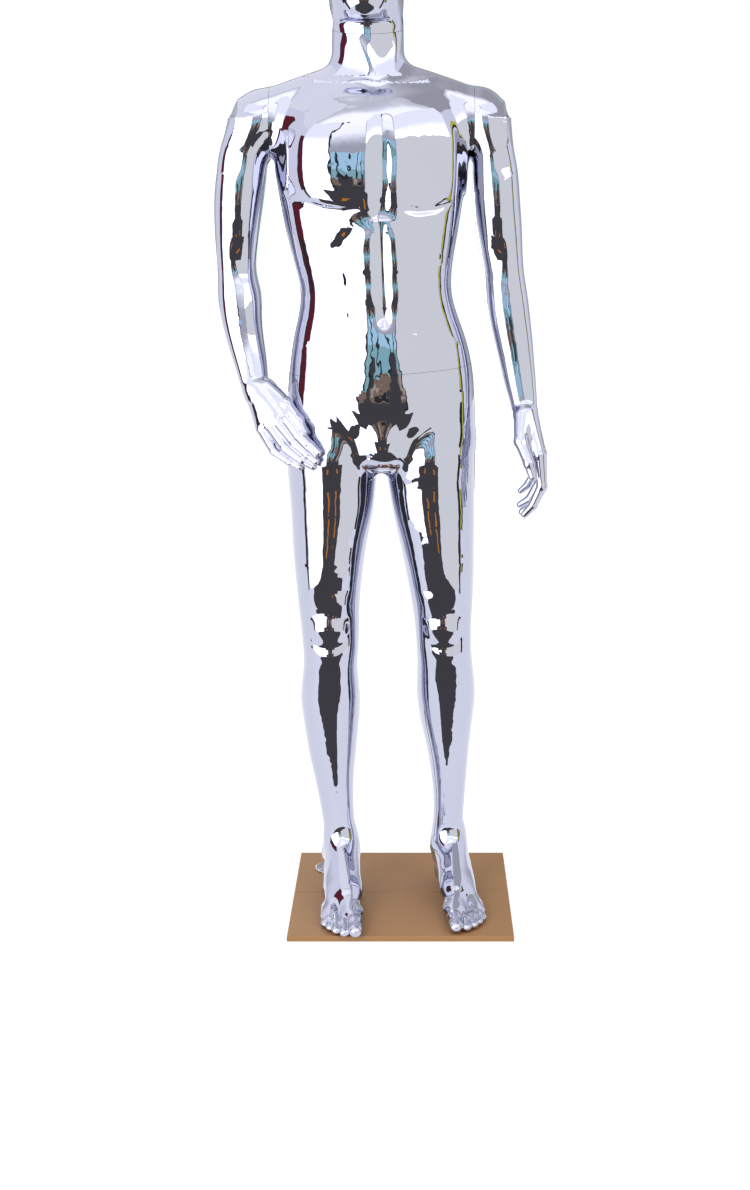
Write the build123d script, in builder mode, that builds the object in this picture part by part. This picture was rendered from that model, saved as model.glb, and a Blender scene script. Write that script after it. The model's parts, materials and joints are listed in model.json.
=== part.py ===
from build123d import *
from math import cos, radians, sin
import os

os.makedirs("parts", exist_ok=True)

# Full body display mannequin: a chrome plated figure in five hollow shells (hips with legs, torso, head
# and two arms) that plug together with square spigots, standing on a two-piece square base with a calf rod.
# Millimetres. +Z up, the figure faces -Y, its right side is -X. The origin is on the floor, under the
# middle of the overall box.

# ---------------------------------------------------------------- driving dimensions
BASE_SIDE = 400.0
BASE_X = 36.0
BASE_Y = 6.0
BASE_TOP = 10.0
TRAY_HEIGHT = 9.0
SHEET = 2.0
EDGE_ROUND = 1.9
PLATE_SEAM = 0.4
PAD_RADIUS = 11.0
PAD_INSET = 26.0
STRAP_LENGTH = 110.0
STRAP_WIDTH = 30.0
STRAP_THICK = 3.0
STRAP_SPACING = 240.0

ROD_X = -100.0
ROD_Y = 121.0
ROD_RADIUS = 9.5
ROD_WALL = 1.5
ROD_BEND_HEIGHT = 215.0
ROD_BEND_RADIUS = 45.0
ROD_LEAN = 30.0
ROD_TIP = 112.0
FLANGE_RADIUS = 31.0
FLANGE_THICK = 4.0
COLLAR_HEIGHT = 24.0
COLLAR_FOOT_RADIUS = 17.0
COLLAR_TOP_RADIUS = 13.5
FLANGE_HOLE_RADIUS = 24.0
SET_SCREW_HEIGHT = 14.0
SET_SCREW_RADIUS = 3.0
SET_SCREW_LENGTH = 5.0
SOCKET_CLEARANCE = 0.3
SOCKET_WALL = 2.7

WALL = 3.5
END_WALL = 9.0
WRIST_STATION = 12
SEAM_GAP = 0.5
SPIGOT_FLANGE = 3.0
BUSH_CLEARANCE = 0.3
SCREW_RADIUS = 2.0
SCREW_HEAD_RADIUS = 4.0
SCREW_LENGTH = 9.0

WAIST_HEIGHT = 998.0
WAIST_ROLL = 2.9
WAIST_PITCH = 5.0
NECK_HEIGHT = 1606.0
NECK_X = -24.0
NECK_Y = 34.0
NECK_PITCH = 13.0
RIGHT_SHOULDER_X = -200.0
LEFT_SHOULDER_X = 168.0
SHOULDER_Y = 30.0
SHOULDER_Z = 1447.0
SHOULDER_CUT = 300.0

# Seam planes: each one's z axis points out of the piece that holds the socket.
WAIST_PLANE = Plane(origin=(0, 24, WAIST_HEIGHT)).rotated((WAIST_PITCH, -WAIST_ROLL, 0))
NECK_PLANE = Plane(origin=(NECK_X, NECK_Y, NECK_HEIGHT)).rotated((NECK_PITCH, 0, 0))
RIGHT_SHOULDER = (RIGHT_SHOULDER_X, SHOULDER_Y, SHOULDER_Z)
LEFT_SHOULDER = (LEFT_SHOULDER_X, SHOULDER_Y, SHOULDER_Z)
RIGHT_SHOULDER_PLANE = Plane(origin=RIGHT_SHOULDER, x_dir=(0, 1, 0), z_dir=(-1, 0, 0))
LEFT_SHOULDER_PLANE = Plane(origin=LEFT_SHOULDER, x_dir=(0, 1, 0), z_dir=(1, 0, 0))

# ---------------------------------------------------------------- body outlines
CROTCH_HEIGHT = 800.0
# Horizontal ovals: height, centre x, centre y, half width, half depth.
HIPS = [
    (1060, -4, 17, 154, 99),
    (1025, -1, 21, 163, 102),
    (985, -1, 26, 168, 108),
    (935, 0, 31, 171, 115),
    (880, 1, 32, 172, 116),
    (835, 1, 30, 172, 110),
    (CROTCH_HEIGHT, 1, 27, 171, 100),
]
RIGHT_LEG = [
    (CROTCH_HEIGHT, -89, 27, 80, 90),
    (755, -90, 26, 79, 89),
    (710, -92, 24, 74, 84),
    (635, -97, 22, 64, 75),
    (560, -97, 20, 57, 67),
    (500, -95, 21, 54, 62),
    (455, -94, 26, 50, 58),
    (390, -96, 34, 56, 60),
    (330, -94, 38, 52, 58),
    (270, -93, 35, 44, 51),
    (215, -88, 29, 35, 42),
    (160, -82, 24, 30, 36),
    (110, -78, 20, 30, 38),
    (60, -77, 14, 33, 46),
    (30, -76, 12, 31, 44),
]
LEFT_LEG = [
    (CROTCH_HEIGHT, 90, 27, 79, 90),
    (755, 93, 27, 77, 89),
    (710, 98, 26, 72, 84),
    (635, 106, 25, 64, 75),
    (560, 112, 26, 57, 67),
    (500, 113, 29, 51, 62),
    (455, 117, 35, 52, 58),
    (390, 119, 45, 55, 60),
    (330, 120, 50, 49, 58),
    (270, 123, 50, 38, 50),
    (215, 126, 46, 32, 42),
    (160, 124, 40, 28, 36),
    (110, 122, 36, 30, 38),
    (60, 123, 31, 33, 46),
    (30, 124, 29, 31, 44),
]
TORSO = [
    (960, -2, 28, 170, 112),
    (1000, -1, 25, 166, 107),
    (1045, -3, 20, 158, 100),
    (1090, -6, 17, 148, 95),
    (1135, -10, 16, 138, 94),
    (1190, -15, 18, 146, 101),
    (1260, -17, 22, 160, 113),
    (1335, -18, 26, 172, 121),
    (1400, -16, 30, 194, 116),
    (1450, -16, 34, 216, 98),
    (1490, -16, 37, 202, 78),
    (1512, -15, 38, 160, 62),
    (1527, -20, 38, 112, 57),
    (1545, -24, 37, 80, 56),
    (1575, -24, 35, 68, 60),
    (1630, -24, 30, 65, 62),
]
HEAD = [
    (1580, -24, 36, 66, 64),
    (1615, -25, 30, 65, 66),
    (1650, -26, 26, 68, 82),
    (1690, -27, 25, 76, 94),
    (1735, -28, 28, 80, 100),
    (1775, -28, 32, 78, 99),
    (1810, -28, 35, 66, 84),
    (1834, -28, 37, 42, 54),
    (1845, -28, 38, 16, 22),
]

# Arm stations: centre, half size across the arm in the frontal plane, half size front to back. The first
# ones fan out round the armpit by these angles, from the upright seam to level.
SHOULDER_FAN = (0.0, 30.0, 60.0, 90.0)
RIGHT_ARM = [
    ((-200, 30, 1447), 52, 46),
    ((-227, 30, 1437), 53, 51),
    ((-241, 31, 1412), 44, 53),
    ((-248, 32, 1388), 45, 54),
    ((-257, 33, 1317), 44, 52),
    ((-263, 37, 1244), 40, 47),
    ((-265, 42, 1180), 36, 43),
    ((-260, 44, 1130), 38, 41),
    ((-256, 36, 1085), 36, 39),
    ((-244, 14, 1025), 31, 33),
    ((-233, -8, 970), 26, 27),
    ((-222, -30, 920), 22, 20),
    ((-209, -46, 890), 29, 16),
    ((-188, -60, 865), 37, 15),
    ((-169, -70, 845), 36, 12),
    ((-149, -81, 825), 33, 10),
    ((-129, -89, 809), 25, 8),
    ((-117, -93, 801), 12, 5),
]
LEFT_ARM = [
    ((168, 30, 1447), 52, 46),
    ((193, 30, 1439), 50, 50),
    ((201, 31, 1412), 37, 52),
    ((205, 32, 1390), 36, 54),
    ((208, 33, 1317), 42, 52),
    ((215, 37, 1244), 41, 47),
    ((223, 42, 1180), 37, 43),
    ((228, 43, 1130), 38, 41),
    ((235, 39, 1075), 37, 38),
    ((246, 28, 1010), 31, 33),
    ((256, 16, 950), 27, 27),
    ((264, 6, 900), 24, 22),
    ((270, 1, 868), 25, 31),
    ((277, -4, 838), 22, 39),
    ((281, -8, 812), 18, 41),
    ((280, -11, 785), 16, 38),
    ((274, -13, 760), 15, 33),
    ((263, -15, 739), 12, 24),
    ((254, -16, 729), 6, 11),
]
# Thumbs: root, middle joint, tip and radius. The four fingers lie side by side in the arm's last ovals.
RIGHT_THUMB = ((-194, -46, 898), (-168, -60, 878), (-149, -69, 860), 10.0)
LEFT_THUMB = ((262, -24, 866), (257, -44, 836), (261, -52, 812), 10.0)
# Foot ovals across the foot: distance in front of the heel, half width, centre height, half height.
FOOT = [
    (0, 16, 36, 22),
    (20, 29, 38, 34),
    (60, 33, 44, 42),
    (110, 34, 42, 40),
    (160, 39, 30, 31),
    (205, 43, 22, 20),
    (240, 40, 19, 14),
    (267, 26, 17, 8),
]
RIGHT_HEEL = (-78, 62)
RIGHT_TOE_TURN = 2.0
LEFT_HEEL = (124, 82)
LEFT_TOE_TURN = 8.0


# ---------------------------------------------------------------- shape helpers
def oval_stack(sections, inset=0.0, drop=0.0):
    """Smooth solid through horizontal ovals, shrunk by inset and lowered by drop for a shell's cavity."""
    with BuildPart() as solid:
        for height, centre_x, centre_y, half_width, half_depth in sections:
            with BuildSketch(Plane.XY.offset(height - drop)):
                with Locations((centre_x, centre_y)):
                    Ellipse(half_width - inset, half_depth - inset)
        loft()
    return solid.part


def limb(stations, side, inset=0.0):
    """Smooth solid through ovals square to a line of station points. side is -1 for right, 1 for left."""
    points = [Vector(*station[0]) for station in stations]
    with BuildPart() as solid:
        for index, (_, half_across, half_depth) in enumerate(stations):
            if index < len(SHOULDER_FAN):
                fan = radians(SHOULDER_FAN[index])
                direction = Vector(side * cos(fan), 0, -sin(fan))
            else:
                direction = points[min(index + 1, len(points) - 1)] - points[index - 1]
            with BuildSketch(Plane(origin=points[index], x_dir=(0, 1, 0), z_dir=direction)):
                Ellipse(half_depth - inset, half_across - inset)
        loft()
    return solid.part


def finger(knuckle, middle, tip, radius):
    """Tapered thumb that starts inside the palm."""
    knuckle, middle, tip = Vector(*knuckle), Vector(*middle), Vector(*tip)
    root = knuckle + (knuckle - middle).normalized() * 1.5 * radius
    end = tip + (tip - middle).normalized() * 0.6 * radius
    with BuildPart() as solid:
        for point, direction, size in (
            (root, middle - knuckle, radius),
            (middle, tip - root, radius * 0.92),
            (tip, tip - middle, radius * 0.78),
            (end, tip - middle, radius * 0.35),
        ):
            with BuildSketch(Plane(origin=point, z_dir=direction)):
                Circle(size)
        loft()
    return solid.part


def foot(heel, toe_turn, inset=0.0):
    """Foot of ovals from heel to toes, cut flat at the sole and turned towards the figure's left."""
    forward = Vector(sin(radians(toe_turn)), -cos(radians(toe_turn)), 0)
    across = Vector(cos(radians(toe_turn)), sin(radians(toe_turn)), 0)
    start = Vector(heel[0], heel[1], 0)
    with BuildPart() as solid:
        for distance, half_width, centre_height, half_height in FOOT:
            centre = start + forward * distance + Vector(0, 0, centre_height)
            with BuildSketch(Plane(origin=centre, x_dir=across, z_dir=forward)):
                Ellipse(half_width - inset, half_height - inset)
        loft()
        with BuildSketch(Plane.XY.offset(BASE_TOP + inset)):
            Rectangle(900, 900)
        extrude(amount=-100, mode=Mode.SUBTRACT)
    return solid.part


def beyond(plane, offset, width=1800.0, reach=900.0):
    """Block that fills everything beyond a seam plane, on the side its z axis points to."""
    with BuildPart() as block:
        with BuildSketch(plane.offset(offset)):
            Rectangle(width, width)
        extrude(amount=reach)
    return block.part


def behind(plane, offset, width=1800.0):
    """Block that fills everything behind a seam plane, within a square of the given width."""
    return beyond(plane, offset, width, -900.0)


def disc(plane, radius, low, high):
    """Round block on a seam plane's axis, from low to high along it."""
    with BuildPart() as block:
        with BuildSketch(plane.offset(low)):
            Circle(radius)
        extrude(amount=high - low)
    return block.part


def screw_ring(plane, ring_radius, count, sign):
    """Countersunk screws around a flange: sign -1 sinks them below the plane, +1 above it."""
    face = plane.offset(sign * SEAM_GAP / 2)
    head_height = SCREW_HEAD_RADIUS - SCREW_RADIUS
    with BuildPart() as screws:
        with BuildSketch(face):
            with PolarLocations(ring_radius, count, start_angle=45):
                Circle(SCREW_RADIUS)
        extrude(amount=sign * SCREW_LENGTH)
        with BuildSketch(face):
            with PolarLocations(ring_radius, count, start_angle=45):
                Circle(SCREW_HEAD_RADIUS)
        extrude(amount=sign * head_height, taper=45)
    return screws.part


def socket_body(plane, flange_radius, bush_radius, depth):
    """Cast socket: a flange flush with the seam and a blind cup for the swivel bush."""
    cup_radius = bush_radius + BUSH_CLEARANCE + 3.0
    face = plane.offset(-SEAM_GAP / 2)
    with BuildPart() as body:
        with BuildSketch(face):
            Circle(flange_radius)
        extrude(amount=-SPIGOT_FLANGE)
        with BuildSketch(face):
            Circle(cup_radius)
        extrude(amount=-(depth + 3.0))
        with BuildSketch(face):
            Circle(bush_radius + BUSH_CLEARANCE)
        extrude(amount=-depth, mode=Mode.SUBTRACT)
    return body.part


def bush_body(plane, bush_radius, spigot_side, depth):
    """Nylon swivel bush that turns in the socket cup, with a square hole for the spigot."""
    with BuildPart() as body:
        with BuildSketch(plane.offset(-SEAM_GAP / 2 - depth)):
            Circle(bush_radius)
            Rectangle(
                spigot_side + 2 * BUSH_CLEARANCE,
                spigot_side + 2 * BUSH_CLEARANCE,
                mode=Mode.SUBTRACT,
            )
        extrude(amount=depth - 0.5)
    return body.part


def spigot_body(plane, flange_radius, spigot_side, depth):
    """Cast spigot: a flange flush with the seam and a square peg that drops into the bush."""
    face = plane.offset(SEAM_GAP / 2)
    with BuildPart() as body:
        with BuildSketch(face):
            Circle(flange_radius)
        extrude(amount=SPIGOT_FLANGE)
        with BuildSketch(face):
            Rectangle(spigot_side, spigot_side)
        extrude(amount=-(depth - 2.0))
        chamfer(body.faces().sort_by(Axis(plane.origin, plane.z_dir))[0].edges(), length=1.5)
    return body.part


def save(piece, name):
    """Label a finished piece and write it."""
    piece.part.label = name
    export_step(piece.part, "parts/" + name + ".step")


# ---------------------------------------------------------------- joints between the shells
# Seam plane, flange radius, bush radius, spigot side, socket depth, screw circle radius, screw count.
WAIST_FIT = (WAIST_PLANE, 52.0, 22.0, 26.0, 45.0, 42.0, 6)
NECK_FIT = (NECK_PLANE, 36.0, 14.0, 16.0, 34.0, 29.0, 4)
RIGHT_SHOULDER_FIT = (RIGHT_SHOULDER_PLANE, 34.0, 14.0, 16.0, 34.0, 27.0, 4)
LEFT_SHOULDER_FIT = (LEFT_SHOULDER_PLANE, 34.0, 14.0, 16.0, 34.0, 27.0, 4)
FITS = {
    "waist": WAIST_FIT,
    "neck": NECK_FIT,
    "right_shoulder": RIGHT_SHOULDER_FIT,
    "left_shoulder": LEFT_SHOULDER_FIT,
}
socket_screws = {}
spigot_screws = {}
for fit_name, (plane, flange, bush, square, depth, circle, count) in FITS.items():
    socket_screws[fit_name] = screw_ring(plane, circle, count, -1)
    spigot_screws[fit_name] = screw_ring(plane, circle, count, 1)

    with BuildPart() as socket_piece:
        add(socket_body(plane, flange, bush, depth))
        add(socket_screws[fit_name], mode=Mode.SUBTRACT)
    save(socket_piece, fit_name + "_socket")

    with BuildPart() as bush_piece:
        add(bush_body(plane, bush, square, depth))
    save(bush_piece, fit_name + "_swivel_bush")

    with BuildPart() as spigot_piece:
        add(spigot_body(plane, flange, square, depth))
        add(spigot_screws[fit_name], mode=Mode.SUBTRACT)
    save(spigot_piece, fit_name + "_spigot")

    with BuildPart() as socket_screw_set:
        add(socket_screws[fit_name])
    save(socket_screw_set, fit_name + "_socket_screws")

    with BuildPart() as spigot_screw_set:
        add(spigot_screws[fit_name])
    save(spigot_screw_set, fit_name + "_spigot_screws")


def fitting_room(fit_name, sign):
    """What a shell's end wall gives up to its fitting: the flange recess, the cup hole and the screws."""
    plane, flange, bush, square, depth, circle, count = FITS[fit_name]
    cup_radius = bush + BUSH_CLEARANCE + 3.0
    if sign < 0:
        recess = disc(plane, flange, -SEAM_GAP / 2 - SPIGOT_FLANGE, SEAM_GAP / 2)
        hole = disc(plane, cup_radius, -SEAM_GAP / 2 - END_WALL - 1, SEAM_GAP / 2)
        return [recess, hole, socket_screws[fit_name]]
    recess = disc(plane, flange, -SEAM_GAP / 2, SEAM_GAP / 2 + SPIGOT_FLANGE)
    return [recess, spigot_screws[fit_name]]


# ---------------------------------------------------------------- shells
# Rod tip axis: it leans forward into the back of the right calf.
TIP_DIRECTION = Vector(0, -sin(radians(ROD_LEAN)), cos(radians(ROD_LEAN)))
BEND_POINT = Vector(ROD_X, ROD_Y, ROD_BEND_HEIGHT)
CALF_AXIS = Plane(origin=BEND_POINT, x_dir=(1, 0, 0), z_dir=TIP_DIRECTION)
SOCKET_BORE = ROD_RADIUS + SOCKET_CLEARANCE
SOCKET_RADIUS = SOCKET_BORE + SOCKET_WALL
SOCKET_START = 30.0
SOCKET_END = ROD_TIP + 5.0

right_leg_outside = oval_stack(RIGHT_LEG)
calf_socket_room = disc(CALF_AXIS, SOCKET_RADIUS, SOCKET_START, SOCKET_END)

with BuildPart() as hips_cavity:
    add(oval_stack(HIPS, WALL, -WALL))
    add(oval_stack(RIGHT_LEG[:-2], WALL, -WALL))
    add(oval_stack(LEFT_LEG[:-2], WALL, -WALL))
    add(beyond(WAIST_PLANE, -END_WALL), mode=Mode.SUBTRACT)

with BuildPart() as hips_and_legs:
    add(oval_stack(HIPS))
    add(right_leg_outside)
    add(oval_stack(LEFT_LEG))
    add(foot(RIGHT_HEEL, RIGHT_TOE_TURN))
    add(foot(LEFT_HEEL, LEFT_TOE_TURN))
    add(beyond(WAIST_PLANE, -SEAM_GAP / 2), mode=Mode.SUBTRACT)
    add(hips_cavity.part, mode=Mode.SUBTRACT)
    for room in fitting_room("waist", -1):
        add(room, mode=Mode.SUBTRACT)
    add(calf_socket_room, mode=Mode.SUBTRACT)
save(hips_and_legs, "hips_and_legs")

with BuildPart() as calf_socket:
    add(calf_socket_room)
    add(disc(CALF_AXIS, SOCKET_BORE, SOCKET_START, ROD_TIP + 1.0), mode=Mode.SUBTRACT)
    add(right_leg_outside, mode=Mode.INTERSECT)
save(calf_socket, "calf_socket")

with BuildPart() as torso_cavity:
    add(oval_stack(TORSO, WALL, WALL))
    add(behind(WAIST_PLANE, END_WALL), mode=Mode.SUBTRACT)
    for plane in (NECK_PLANE, RIGHT_SHOULDER_PLANE, LEFT_SHOULDER_PLANE):
        add(beyond(plane, -END_WALL), mode=Mode.SUBTRACT)

with BuildPart() as torso_shell:
    add(oval_stack(TORSO))
    add(behind(WAIST_PLANE, SEAM_GAP / 2), mode=Mode.SUBTRACT)
    for plane in (NECK_PLANE, RIGHT_SHOULDER_PLANE, LEFT_SHOULDER_PLANE):
        add(beyond(plane, -SEAM_GAP / 2), mode=Mode.SUBTRACT)
    add(torso_cavity.part, mode=Mode.SUBTRACT)
    for room in fitting_room("waist", 1):
        add(room, mode=Mode.SUBTRACT)
    for fit_name in ("neck", "right_shoulder", "left_shoulder"):
        for room in fitting_room(fit_name, -1):
            add(room, mode=Mode.SUBTRACT)
save(torso_shell, "torso_shell")

with BuildPart() as head_cavity:
    add(oval_stack(HEAD[:-1], WALL))
    add(behind(NECK_PLANE, END_WALL), mode=Mode.SUBTRACT)

with BuildPart() as head_shell:
    add(oval_stack(HEAD))
    add(behind(NECK_PLANE, SEAM_GAP / 2), mode=Mode.SUBTRACT)
    add(head_cavity.part, mode=Mode.SUBTRACT)
    for room in fitting_room("neck", 1):
        add(room, mode=Mode.SUBTRACT)
save(head_shell, "head_shell")

ARMS = {
    "right": (RIGHT_ARM, RIGHT_THUMB, RIGHT_SHOULDER_PLANE, -1),
    "left": (LEFT_ARM, LEFT_THUMB, LEFT_SHOULDER_PLANE, 1),
}
for side, (stations, thumb, plane, outward) in ARMS.items():
    with BuildPart() as arm_cavity:
        add(limb(stations[:WRIST_STATION], outward, WALL))
        add(behind(plane, END_WALL, SHOULDER_CUT), mode=Mode.SUBTRACT)

    with BuildPart() as arm_shell:
        add(limb(stations, outward))
        add(finger(*thumb))
        add(behind(plane, SEAM_GAP / 2, SHOULDER_CUT), mode=Mode.SUBTRACT)
        add(arm_cavity.part, mode=Mode.SUBTRACT)
        for room in fitting_room(side + "_shoulder", 1):
            add(room, mode=Mode.SUBTRACT)
    save(arm_shell, side + "_arm")

# ---------------------------------------------------------------- base
SHEET_BOTTOM = BASE_TOP - SHEET
TRAY_BOTTOM = BASE_TOP - TRAY_HEIGHT
HALF_SIDE = BASE_SIDE / 2
ROD_FOOT = Plane(origin=(ROD_X, ROD_Y, BASE_TOP))


def base_plate(sign, room):
    """Half of the base: a sheet tray, its rim folded down on three sides. sign is -1 for the front."""
    middle = BASE_Y + sign * BASE_SIDE / 4
    with BuildPart() as tray:
        with BuildSketch(Plane.XY.offset(TRAY_BOTTOM)):
            with Locations((BASE_X, middle)):
                Rectangle(BASE_SIDE, HALF_SIDE - PLATE_SEAM)
        extrude(amount=TRAY_HEIGHT)
        fillet(tray.edges().group_by(Axis.Z)[-1], radius=EDGE_ROUND)
        with BuildSketch(Plane.XY.offset(TRAY_BOTTOM)):
            with Locations((BASE_X, middle - sign * SHEET)):
                Rectangle(BASE_SIDE - 2 * SHEET, HALF_SIDE)
        extrude(amount=TRAY_HEIGHT - SHEET, mode=Mode.SUBTRACT)
        for shape in room:
            add(shape, mode=Mode.SUBTRACT)
    return tray.part


def upright_screws(points, top, bottom, head_up):
    """Countersunk screws between two heights, heads up or down, at a list of points."""
    head_height = SCREW_HEAD_RADIUS - SCREW_RADIUS
    with BuildPart() as screws:
        with BuildSketch(Plane.XY.offset(bottom)):
            with Locations(*points):
                Circle(SCREW_RADIUS)
        extrude(amount=top - bottom)
        with BuildSketch(Plane.XY.offset(top if head_up else bottom)):
            with Locations(*points):
                Circle(SCREW_HEAD_RADIUS)
        extrude(amount=-head_height if head_up else head_height, taper=45)
    return screws.part


strap_bottom = SHEET_BOTTOM - STRAP_THICK
strap_x = (BASE_X - STRAP_SPACING / 2, BASE_X + STRAP_SPACING / 2)
strap_points = [
    (x + dx, BASE_Y + dy)
    for x in strap_x
    for dx in (-STRAP_WIDTH / 4, STRAP_WIDTH / 4)
    for dy in (-0.35 * STRAP_LENGTH, 0.35 * STRAP_LENGTH)
]
strap_screw_room = upright_screws(strap_points, BASE_TOP - 0.5, strap_bottom, False)
flange_points = [
    (ROD_X + FLANGE_HOLE_RADIUS * cos(radians(angle)), ROD_Y + FLANGE_HOLE_RADIUS * sin(radians(angle)))
    for angle in (90, 210, 330)
]
flange_screw_room = upright_screws(flange_points, BASE_TOP + FLANGE_THICK, strap_bottom, True)

with BuildPart() as base_plate_front:
    add(base_plate(-1, [strap_screw_room]))
save(base_plate_front, "base_plate_front")

with BuildPart() as base_plate_rear:
    add(base_plate(1, [strap_screw_room, flange_screw_room]))
save(base_plate_rear, "base_plate_rear")

with BuildPart() as joining_straps:
    with BuildSketch(Plane.XY.offset(strap_bottom)):
        with Locations(*[(x, BASE_Y) for x in strap_x]):
            Rectangle(STRAP_WIDTH, STRAP_LENGTH)
    extrude(amount=STRAP_THICK)
    add(strap_screw_room, mode=Mode.SUBTRACT)
save(joining_straps, "joining_straps")

with BuildPart() as strap_screws:
    add(strap_screw_room)
save(strap_screws, "strap_screws")

with BuildPart() as flange_backing_plate:
    with BuildSketch(Plane.XY.offset(strap_bottom)):
        with Locations((ROD_X, ROD_Y)):
            RectangleRounded(80, 80, 8)
    extrude(amount=STRAP_THICK)
    add(flange_screw_room, mode=Mode.SUBTRACT)
save(flange_backing_plate, "flange_backing_plate")

pad_reach = HALF_SIDE - PAD_INSET
pad_points = [
    (BASE_X + sx * pad_reach, BASE_Y + y)
    for sx in (-1, 1)
    for y in (-pad_reach, -PAD_INSET, PAD_INSET, pad_reach)
]
with BuildPart() as rubber_feet:
    with BuildSketch():
        with Locations(*pad_points):
            Circle(PAD_RADIUS)
    extrude(amount=SHEET_BOTTOM)
    chamfer(rubber_feet.edges().group_by(Axis.Z)[0], length=1.0)
save(rubber_feet, "rubber_feet")

# ---------------------------------------------------------------- calf rod
with BuildPart() as flange_screws:
    add(flange_screw_room)
save(flange_screws, "flange_screws")

set_screw_axis = Plane(origin=(ROD_X, ROD_Y, BASE_TOP + SET_SCREW_HEIGHT), x_dir=(1, 0, 0), z_dir=(0, 1, 0))
with BuildPart() as rod_set_screw:
    with BuildSketch(set_screw_axis.offset(ROD_RADIUS)):
        Circle(SET_SCREW_RADIUS)
    extrude(amount=SET_SCREW_LENGTH)
    with BuildSketch(set_screw_axis.offset(ROD_RADIUS + SET_SCREW_LENGTH)):
        RegularPolygon(radius=1.5, side_count=6)
    extrude(amount=-2.5, mode=Mode.SUBTRACT)
    with BuildSketch(ROD_FOOT):
        Circle(ROD_RADIUS)
    extrude(amount=COLLAR_HEIGHT, mode=Mode.SUBTRACT)
save(rod_set_screw, "rod_set_screw")

with BuildPart() as rod_flange:
    with BuildSketch(ROD_FOOT):
        Circle(FLANGE_RADIUS)
    extrude(amount=FLANGE_THICK)
    fillet(rod_flange.edges().group_by(Axis.Z)[-1], radius=1.5)
    with BuildSketch(ROD_FOOT):
        Circle(COLLAR_FOOT_RADIUS)
    with BuildSketch(ROD_FOOT.offset(COLLAR_HEIGHT)):
        Circle(COLLAR_TOP_RADIUS)
    loft()
    with BuildSketch(ROD_FOOT):
        Circle(ROD_RADIUS)
    extrude(amount=COLLAR_HEIGHT, mode=Mode.SUBTRACT)
    with BuildSketch(set_screw_axis.offset(ROD_RADIUS - 1)):
        Circle(SET_SCREW_RADIUS)
    extrude(amount=SET_SCREW_LENGTH + 6, mode=Mode.SUBTRACT)
    add(flange_screw_room, mode=Mode.SUBTRACT)
save(rod_flange, "rod_flange")

with BuildPart() as calf_rod:
    with BuildLine():
        FilletPolyline(
            (ROD_X, ROD_Y, BASE_TOP),
            BEND_POINT,
            BEND_POINT + TIP_DIRECTION * ROD_TIP,
            radius=ROD_BEND_RADIUS,
        )
    with BuildSketch(ROD_FOOT):
        Circle(ROD_RADIUS)
        Circle(ROD_RADIUS - ROD_WALL, mode=Mode.SUBTRACT)
    sweep()
save(calf_rod, "calf_rod")
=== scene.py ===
import json
import math
from concurrent.futures import ThreadPoolExecutor

import bmesh
import bpy
import numpy as np
import openvdb
from mathutils import Matrix, Vector


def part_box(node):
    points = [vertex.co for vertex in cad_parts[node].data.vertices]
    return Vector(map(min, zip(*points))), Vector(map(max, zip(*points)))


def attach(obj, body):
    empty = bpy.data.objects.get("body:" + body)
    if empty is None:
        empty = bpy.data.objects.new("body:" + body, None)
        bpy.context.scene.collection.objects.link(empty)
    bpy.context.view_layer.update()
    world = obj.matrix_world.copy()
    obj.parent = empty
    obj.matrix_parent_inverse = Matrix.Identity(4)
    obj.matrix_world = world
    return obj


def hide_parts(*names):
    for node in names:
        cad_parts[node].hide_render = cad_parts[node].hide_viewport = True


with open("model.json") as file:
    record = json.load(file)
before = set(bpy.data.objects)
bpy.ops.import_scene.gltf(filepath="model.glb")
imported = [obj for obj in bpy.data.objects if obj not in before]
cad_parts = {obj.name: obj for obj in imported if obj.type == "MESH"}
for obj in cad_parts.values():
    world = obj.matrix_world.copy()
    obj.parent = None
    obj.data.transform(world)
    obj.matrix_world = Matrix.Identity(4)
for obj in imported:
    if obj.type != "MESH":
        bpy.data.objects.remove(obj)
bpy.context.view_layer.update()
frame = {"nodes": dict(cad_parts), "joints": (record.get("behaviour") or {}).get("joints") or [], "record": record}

# Chrome mannequin. The CAD shells give size, seams and joints; the sculpted body surfaces here replace them.
# Shapes are worked out in millimetres in the row frame (the figure faces -Y, its right side is -X) and
# become metres when a mesh is made.
MM = 0.001
JOINTS = {joint["name"]: joint for joint in frame["joints"]}
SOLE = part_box("hips_and_legs")[0].z / MM
SEAM_GAP = 0.5


def seam(joint_name, outward=None):
    """Seam plane of a joint: a point in millimetres and its unit normal."""
    joint = JOINTS[joint_name]
    return np.array(joint["pos_m"]) / MM, np.array(outward or joint["axis"], float)


WAIST = seam("waist_twist")
NECK = seam("neck_turn")
RIGHT_SHOULDER = seam("right_arm_swing", (-1, 0, 0))
LEFT_SHOULDER = seam("left_arm_swing", (1, 0, 0))


# ---------------------------------------------------------------- distance-field shapes
# A shape is how it joins the rest, its function of place, the corners of the box it acts in, and the width of
# its blend. Each one leaves a margin round its box.
MARGIN = 6
# A bell profile counts as zero past this many widths.
BELL_REACH = 4


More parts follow.
